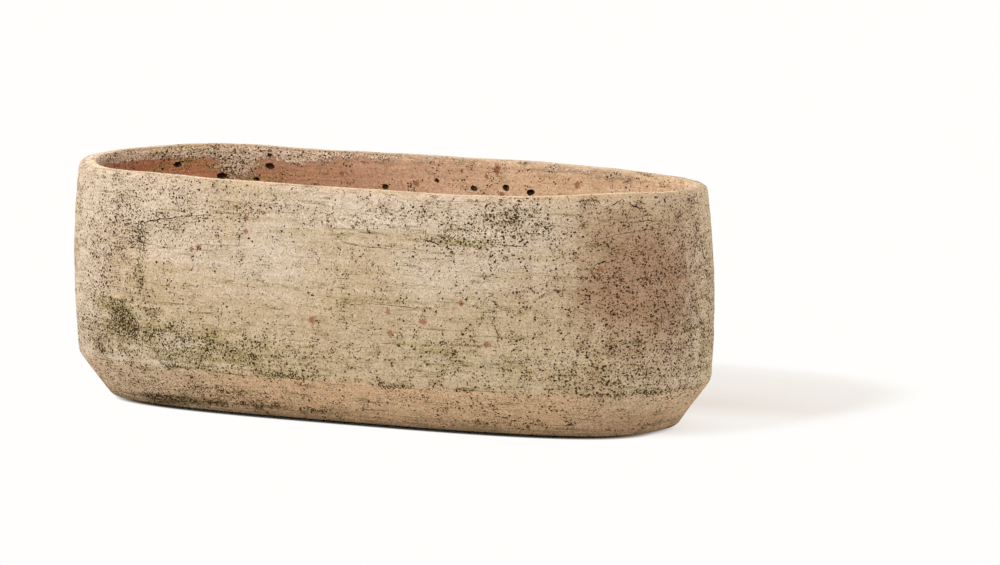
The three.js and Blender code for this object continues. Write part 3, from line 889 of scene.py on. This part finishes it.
def grog_places():
    """Centre and width of each lump of grog."""
    for table, depth in ((OUTSIDE_GROG, 0.0), (INSIDE_GROG, WALL)):
        for turn_share, height, width in table:
            yield wall_point(turn_share, height * MM, depth), width * MM


def pit_lining():
    """The rough wall of a burst bubble or a crack: near black for the dirt in it and as painted shade deep
    in the hollow, and no shine at all.
    """
    material, tree, shader = new_material("dark_pit_lining_dirt_and_shade")
    place = add(tree, "ShaderNodeTexCoord", out="Object")
    noise = add(tree, "ShaderNodeTexNoise", {"Vector": place, "Scale": 1 / (1.5 * MM), "Detail": 2.0})
    share = add(tree, "ShaderNodeMapRange", {"Value": noise, "From Min": 0.4, "From Max": 0.65})
    colour = add(tree, "ShaderNodeMix", {0: share, 6: linear("#2E241A"), 7: linear("#664A33")}, out=2,
                 data_type="RGBA")
    tree.links.new(colour, shader.inputs["Base Color"])
    shader.inputs["Roughness"].default_value = 1.0
    shader.inputs["Specular IOR Level"].default_value = 0.1
    return material


def moulded_rubber(name, body, dust):
    """Moulded black rubber with clay dust on it: a soft, broad sheen, and pale smears where it is dusty."""
    material, tree, shader = new_material(name)
    place = add(tree, "ShaderNodeTexCoord", out="Object")
    smears = add(tree, "ShaderNodeTexNoise", {"Vector": place, "Scale": 1 / (6 * MM), "Detail": 4.0,
                                              "Roughness": 0.65})
    mould = add(tree, "ShaderNodeTexNoise", {"Vector": place, "Scale": 1 / (0.8 * MM), "Detail": 1.0})
    share = add(tree, "ShaderNodeMapRange", {
        "Value": smears, "From Min": 0.45, "From Max": 0.75, "To Max": 0.5})
    colour = add(tree, "ShaderNodeMix", {0: share, 6: linear(body), 7: linear(dust)}, out=2,
                 data_type="RGBA")
    tree.links.new(colour, shader.inputs["Base Color"])
    gloss = add(tree, "ShaderNodeMapRange", {
        "Value": smears, "From Min": 0.4, "From Max": 0.7, "To Min": 0.55, "To Max": 0.85})
    tree.links.new(gloss, shader.inputs["Roughness"])
    bump = add(tree, "ShaderNodeBump", {"Strength": 0.4, "Distance": 0.1 * MM, "Height": mould})
    tree.links.new(bump, shader.inputs["Normal"])
    shader.inputs["IOR"].default_value = 1.52
    return material


# The clay body


def clay_blank(clay):
    """The body before anything is cut into it."""
    line = mesh_object("clay_trough", [(p.x, 0, p.y) for p in clay_section()], material=clay)
    return run_tree(line, trough_tree(), {
        "Half Length": HALF_LENGTH, "Half Width": HALF_WIDTH, "Plan Power": PLAN_POWER,
        "Crease Height": CREASE_HEIGHT, "Rim Height": RIM_HEIGHT, "Hand Wobble": HAND_WOBBLE,
        "Brush Ripple": BRUSH_RIPPLE, "Tooth": TOOTH, "Columns": COLUMNS, "Clay": clay})


def surface_of(obj):
    """A search tree of an object's faces."""
    places = [v.co for v in obj.data.vertices]
    return BVHTree.FromPolygons(places, [tuple(p.vertices) for p in obj.data.polygons])


def pit_places(surface):
    """Centre and radius of each burst bubble, at set places and then by chance, never touching."""
    chance = random.Random(PIT_SEED)
    pits = [(surface.find_nearest(wall_point(turn_share, height * MM, WALL))[0], width / 2 * MM)
            for turn_share, height, width in INSIDE_PITS]
    for side, count, least, most in RANDOM_PITS:
        placed = 0
        while placed < count:
            height, depth = {
                "outside": (chance.uniform(14 * MM, RIM_HEIGHT - 6 * MM), 0.0),
                "inside": (chance.uniform(FLOOR_TOP + 16 * MM, RIM_HEIGHT - 6 * MM), WALL),
                "rim": (RIM_HEIGHT, chance.uniform(0.25, 0.8) * WALL),
            }[side]
            radius = (least + (most - least) * chance.random() ** MOSTLY_SMALL) * MM
            centre = surface.find_nearest(wall_point(chance.random(), height, depth))[0]
            if all((centre - other).length > radius + reach + PIT_SPACING for other, reach in pits):
                pits.append((centre, radius))
                placed += 1
    return pits


def pit_cutters(surface, lining):
    """The balls that cut the bubbles, wide ones finer than small ones."""
    pits = pit_places(surface)
    cutters = []
    for name, fineness, kept in (("wide_pits", 2, [p for p in pits if p[1] > SMALL_PIT_RADIUS]),
                                 ("small_pits", 1, [p for p in pits if p[1] <= SMALL_PIT_RADIUS])):
        obj = mesh_object(name, [centre for centre, _ in kept])
        widths = obj.data.attributes.new("radius", "FLOAT", "POINT").data
        widths.foreach_set("value", [radius for _, radius in kept])
        cutters.append(run_tree(obj, pits_tree(), {
            "Fineness": fineness, "Lumpiness": PIT_LUMPINESS, "Seed": PIT_SEED, "Lining": lining}))
    return cutters


def score_cutter(surface, number, places, width, depth, chance, lining):
    """A ragged wedge along a line on the outer wall, widest at its middle."""
    line = spaced([Vector((turn_share * WALL_ROUND, height)) for turn_share, height in places], SCORE_STEP)
    points, faces = [], []
    for i, spot in enumerate(line):
        share = (i + 0.5) / len(line)
        jitter = chance.uniform(-SCORE_JITTER, SCORE_JITTER) * min(1.0, width)
        place, normal = surface.find_nearest(wall_point(spot.x / WALL_ROUND, (spot.y + jitter) * MM))[:2]
        swell = math.sin(math.pi * share) ** 0.7 * chance.uniform(*SCORE_SWELL_SHARES)
        up = (Vector((0, 0, 1)) - normal * normal.z).normalized()
        up *= width * swell * SCORE_HALF_OPENING_SHARE * MM
        out = place + normal * SCORE_LIP
        points += [out + up, out - up, place - normal * depth * swell * MM]
    for i in range(0, len(points) - 3, 3):
        faces += [(i + side, i + (side + 1) % 3, i + 3 + (side + 1) % 3, i + 3 + side) for side in range(3)]
    faces += [(2, 1, 0), (len(points) - 3, len(points) - 2, len(points) - 1)]
    return mesh_object(f"score_{number}", points, faces=faces, material=lining)


def drain_cutter(x, clay):
    """The taper of a drain hole, run past both faces of the floor."""
    slope = (DRAIN_TOP_RADIUS - DRAIN_BOTTOM_RADIUS) / (FLOOR_TOP - CLAY_BOTTOM)
    low, high = CLAY_BOTTOM - CUT_OVERRUN, FLOOR_TOP + CUT_OVERRUN
    wide, narrow = DRAIN_TOP_RADIUS + slope * CUT_OVERRUN, DRAIN_BOTTOM_RADIUS - slope * CUT_OVERRUN
    profile = [Vector((0, low)), Vector((narrow, low)), Vector((wide, high)), Vector((0, high))]
    return turned("drain_cutter", profile, DRAIN_SIDES, Vector((x, 0)), clay)


def cut(obj, cutter):
    """Cuts one closed mesh out of another. The cut faces keep the cutter's material."""
    modifier = obj.modifiers.new("cut", "BOOLEAN")
    modifier.object = cutter
    modifier.operation = "DIFFERENCE"
    modifier.solver = "MANIFOLD"
    modifier.material_mode = "TRANSFER"
    keep_result(obj)
    bpy.data.objects.remove(cutter)


def ramp(value, start, end):
    """0 at the start and 1 at the end, and the same beyond them."""
    return np.clip((value - start) / (end - start), 0, 1)


def all_over(x, height):
    """How much of each stain there is all over, before its patches are added."""
    low_wall = ramp(height, 112 * MM, 62 * MM) * (height > CREASE_HEIGHT)
    high_wall = ramp(height, 120 * MM, 180 * MM)
    under_rim = ramp(height, RIM_HEIGHT - 13 * MM, RIM_HEIGHT)
    return {
        "moss": 0.03 + 0.06 * low_wall,
        "algae": 0.03 + 0.15 * low_wall,
        "bloom": (0.25 + 0.2 * high_wall) * np.clip(1.2 - x / 0.4, 0, 1),
        "iron": np.full(len(x), 0.12),
        "pores": np.full(len(x), 0.1),
        "scum": under_rim * np.clip(0.5 - x / 0.3, 0.25, 0.85),
    }


def back_patches(name, chance):
    """Patches of a stain at random places on the back."""
    count, strongest = BACK_PATCHES.get(name, (0, 0))
    return [(chance.uniform(0.04, 0.58), chance.uniform(12, 196), chance.uniform(14, 60),
             chance.uniform(4, 26), chance.uniform(0.4, 1) * strongest) for _ in range(count)]


def paint(obj):
    """Stores how much of each stain a point has, and if it is inside or on the rim, as its attributes."""
    mesh = obj.data
    points = np.empty(len(mesh.vertices) * 3)
    mesh.vertices.foreach_get("co", points)
    points = points.reshape(-1, 3)
    height, depth = read_wall(points)
    inside = ramp(depth, 12.5 * MM, 14.5 * MM) * (points[:, 2] > CLAY_BOTTOM + 4 * MM)
    on_rim = np.clip(1.3 - np.abs(depth - 9 * MM) / (5 * MM), 0, 1) * (height > RIM_HEIGHT - 3 * MM)
    # The rim's top is paler clay with a painted highlight, strongest at the front
    front_highlight = np.clip(0.6 - points[:, 1] / (60 * MM), 0.55, 1)
    values = {"inside": inside, "rim": on_rim * front_highlight}
    chance = random.Random(BACK_SEED)
    for name, value in all_over(points[:, 0], height).items():
        face_depth = WALL if name == "scum" else 0.0
        for turn_share, middle, along, up, strength in PATCHES[name] + back_patches(name, chance):
            away = points - np.array(wall_point(turn_share, middle * MM, face_depth))
            level = (away[:, 0] ** 2 + away[:, 1] ** 2) / (along * MM) ** 2
            value += strength * np.exp(-level - (away[:, 2] / (up * MM)) ** 2)
        values[name] = np.clip(value, 0, 1)
    for name, value in values.items():
        mesh.attributes.new(name, "FLOAT", "POINT").data.foreach_set("value", value.astype(np.float32))


def clay_body():
    """The pot itself: the blank with its drain holes, bubbles and scores cut in, then painted."""
    clay = aged_fired_clay()
    lining = pit_lining()
    pot = clay_blank(clay)
    surface = surface_of(pot)
    for side in (-1, 1):
        cut(pot, drain_cutter(side * DRAIN_SPACING / 2, clay))
    for cutter in pit_cutters(surface, lining):
        cut(pot, cutter)
    chance = random.Random(SCORE_SEED)
    for number, (places, width, depth) in enumerate(SCORES):
        cut(pot, score_cutter(surface, number, places, width, depth, chance, lining))
    paint(pot)
    smooth(pot)
    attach(pot, "pot")
    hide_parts("pot_body")


# Rubber parts


def rubber_plug(side, material):
    """A drain plug: stem in the hole, flange on the floor of the pot, and a dished knob to pull."""
    low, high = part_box(f"drain_plug_{side}")
    seat = FLOOR_TOP + PLUG_GAP
    slope = (DRAIN_TOP_RADIUS - DRAIN_BOTTOM_RADIUS) / (FLOOR_TOP - CLAY_BOTTOM)
    stem_top = DRAIN_TOP_RADIUS - PLUG_GAP
    stem_tip = DRAIN_BOTTOM_RADIUS + slope * DRAIN_OUTLET_DEPTH - PLUG_GAP
    flange = DRAIN_TOP_RADIUS + PLUG_FLANGE_WIDTH
    flange_top = seat + PLUG_FLANGE_THICKNESS
    neck_top = flange_top + PLUG_NECK_HEIGHT
    groove = (PLUG_NECK_RADIUS + flange) / 2
    profile = rounded([
        (0, low.z, 0), (stem_tip, low.z, PLUG_ROUNDING), (stem_top, seat, 0), (flange, seat, PLUG_ROUNDING),
        (flange, flange_top, PLUG_ROUNDING), (groove + 2 * PLUG_GROOVE, flange_top, PLUG_GROOVE),
        (groove, flange_top - PLUG_GROOVE, PLUG_GROOVE),
        (groove - 2 * PLUG_GROOVE, flange_top, PLUG_GROOVE),
        (PLUG_NECK_RADIUS, flange_top, PLUG_ROUNDING), (PLUG_NECK_RADIUS, neck_top, PLUG_ROUNDING),
        (PLUG_KNOB_RADIUS, neck_top, PLUG_KNOB_ROUNDING), (PLUG_KNOB_RADIUS, high.z, PLUG_KNOB_ROUNDING),
        (PLUG_KNOB_RADIUS / 2, high.z, PLUG_DISH), (PLUG_KNOB_RADIUS / 4, high.z - PLUG_DISH, PLUG_DISH),
        (0, high.z - PLUG_DISH, 0)])
    plug = turned(f"plug_{side}", profile, RUBBER_SIDES, (low + high) / 2, material)
    smooth(plug, 50)
    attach(plug, f"plug_{side}")
    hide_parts(f"drain_plug_{side}")


def rubber_pad(place, material):
    """A flat round pad under the foot of the pot."""
    low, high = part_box(f"foot_pad_{place}")
    radius = (high.x - low.x) / 2
    profile = rounded([
        (0, low.z, 0), (radius, low.z, PAD_ROUNDING), (radius, high.z, PAD_ROUNDING), (0, high.z, 0)])
    pad = turned(f"pad_{place}", profile, RUBBER_SIDES, (low + high) / 2, material)
    smooth(pad, 50)
    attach(pad, "pot")
    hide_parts(f"foot_pad_{place}")


clay_body()
plug_material = moulded_rubber("moulded_plug_rubber", "#2A2724", "#8C7358")
pad_material = moulded_rubber("moulded_pad_rubber", "#1E1D1C", "#6E6050")
for side in ("left", "right"):
    rubber_plug(side, plug_material)
    for row in ("front", "rear"):
        rubber_pad(f"{row}_{side}", pad_material)


# Camera, floor and light


def toward(azimuth, elevation):
    """A unit direction from the pot. Azimuth 0 is the front, and it grows to the right."""
    return Vector((math.sin(azimuth) * math.cos(elevation), -math.cos(azimuth) * math.cos(elevation),
                   math.sin(elevation)))


def make_camera():
    """The camera, where the fit to the photograph puts it."""
    back = toward(CAMERA_AZIMUTH, CAMERA_ELEVATION)
    right = Vector((math.cos(CAMERA_AZIMUTH), math.sin(CAMERA_AZIMUTH), 0))
    up = back.cross(right)
    place = right * AIM_ALONG + Vector((0, 0, AIM_HEIGHT)) + back * CAMERA_DISTANCE
    tilted_right = right * math.cos(CAMERA_ROLL) + up * math.sin(CAMERA_ROLL)
    tilted_up = up * math.cos(CAMERA_ROLL) - right * math.sin(CAMERA_ROLL)
    data = bpy.data.cameras.new("camera")
    data.lens = LENS_MM
    data.sensor_width = SENSOR_MM
    camera = bpy.data.objects.new("camera", data)
    camera.matrix_world = Matrix((*zip(tilted_right, tilted_up, back, place), (0, 0, 0, 1)))
    bpy.context.scene.collection.objects.link(camera)
    bpy.context.scene.camera = camera


def seen_directly(tree):
    """1 for what the camera sees itself, in a mirror or through glass, and 0 for what only gives light."""
    path = add(tree, "ShaderNodeLightPath").node.outputs
    seen = path["Is Camera Ray"]
    for other in ("Is Glossy Ray", "Is Transmission Ray"):
        seen = add(tree, "ShaderNodeMath", seen, path[other], operation="MAXIMUM")
    return seen


def squared_oval(tree, place, centre, half_sizes):
    """Where a point on the floor lies in a squared oval: under 1 inside it, over 1 outside."""
    total = 0.0
    for axis, (middle, half) in enumerate(zip(centre, half_sizes)):
        away = add(tree, "ShaderNodeMath", place[axis], middle, operation="SUBTRACT")
        away = add(tree, "ShaderNodeMath", away, operation="ABSOLUTE")
        away = add(tree, "ShaderNodeMath", away, half, operation="DIVIDE")
        away = add(tree, "ShaderNodeMath", away, PLAN_POWER, operation="POWER")
        total = add(tree, "ShaderNodeMath", away, total, operation="ADD")
    return total


def shadow_kept(tree, place):
    """How much of the lamps' light and shadow shows on the floor, and where the pot stands on it.

    All of it shows under the foot, less in the shadow that falls behind, and none on the open floor."""
    foot = squared_oval(tree, place, (0, 0), (HALF_LENGTH - FOOT_INSET, HALF_WIDTH - FOOT_INSET))
    under = add(tree, "ShaderNodeMapRange", {"Value": foot, "From Min": 0.98, "From Max": 0.78})
    behind = squared_oval(tree, place, SHADOW_CENTRE, SHADOW_HALF_SIZE)
    behind = add(tree, "ShaderNodeMapRange", {"Value": behind, "From Min": 1.5, "From Max": 0.8},
                 interpolation_type="SMOOTHSTEP")
    front = add(tree, "ShaderNodeMapRange", {
        "Value": place[1], "From Min": SHADOW_FADE_Y[0], "From Max": SHADOW_FADE_Y[1],
        "To Min": SHADOW_FRONT_SHARE}, interpolation_type="SMOOTHSTEP")
    behind = add(tree, "ShaderNodeMath", behind, front, operation="MULTIPLY")
    return add(tree, "ShaderNodeMath", behind, under, operation="MAXIMUM"), under


def white_paper():
    """Matt white studio paper. Seen directly it is plain white, but for the object's own soft shadow.

    The camera sees the kept share of the lit floor, and a glow that brings the open floor to white."""
    material, tree, shader = new_material("white_paper")
    shader.inputs["Roughness"].default_value = 1.0
    shader.inputs["Specular IOR Level"].default_value = 0.0
    place = add(tree, "ShaderNodeSeparateXYZ", add(tree, "ShaderNodeTexCoord", out="Object")).node.outputs
    kept, under = shadow_kept(tree, place)
    seen = seen_directly(tree)
    lit = add(tree, "ShaderNodeMix", {0: seen, 2: FLOOR_RETURN, 3: kept})
    lit = add(tree, "ShaderNodeVectorMath", {0: linear(SHADOW_TINT)[:3], "Scale": lit}, operation="SCALE")
    tree.links.new(lit, shader.inputs["Base Color"])
    missing = add(tree, "ShaderNodeVectorMath", {0: lit, "Scale": OPEN_FLOOR_LEVEL}, operation="SCALE")
    glow = add(tree, "ShaderNodeVectorMath", linear(ROOM_WHITE)[:3], missing, operation="SUBTRACT")
    tree.links.new(glow, shader.inputs["Emission Color"])
    open_share = add(tree, "ShaderNodeMath", 1.0, under, operation="SUBTRACT")
    open_share = add(tree, "ShaderNodeMath", open_share, seen, operation="MULTIPLY")
    tree.links.new(open_share, shader.inputs["Emission Strength"])
    return material


def lay_floor():
    """A sheet of paper, far wider than the view."""
    reach = FLOOR_REACH
    corners = [(-reach, -reach, 0), (reach, -reach, 0), (reach, reach, 0), (-reach, reach, 0)]
    mesh_object("floor", corners, faces=[(0, 1, 2, 3)], material=white_paper())


def light_room():
    """An even white room. The camera sees it as plain white."""
    world = bpy.data.worlds.new("white_room")
    bpy.context.scene.world = world
    world.use_nodes = True
    tree = world.node_tree
    level = add(tree, "ShaderNodeMapRange", {
        "Value": seen_directly(tree), "To Min": ROOM_LEVEL, "To Max": 1.0})
    tree.nodes["Background"].inputs["Color"].default_value = linear(ROOM_WHITE)
    tree.links.new(level, tree.nodes["Background"].inputs["Strength"])


def hang_lamps():
    """Soft square lamps that face the middle of the floor."""
    for name, watts, width, distance, azimuth, elevation in LAMPS:
        data = bpy.data.lights.new(name, "AREA")
        data.energy = watts
        data.size = width
        lamp = bpy.data.objects.new(name, data)
        away = toward(math.radians(azimuth), math.radians(elevation))
        lamp.location = away * distance
        lamp.rotation_euler = away.to_track_quat("Z", "Y").to_euler()
        bpy.context.scene.collection.objects.link(lamp)


make_camera()
lay_floor()
light_room()
hang_lamps()

bpy.context.scene.view_settings.view_transform = "Standard"
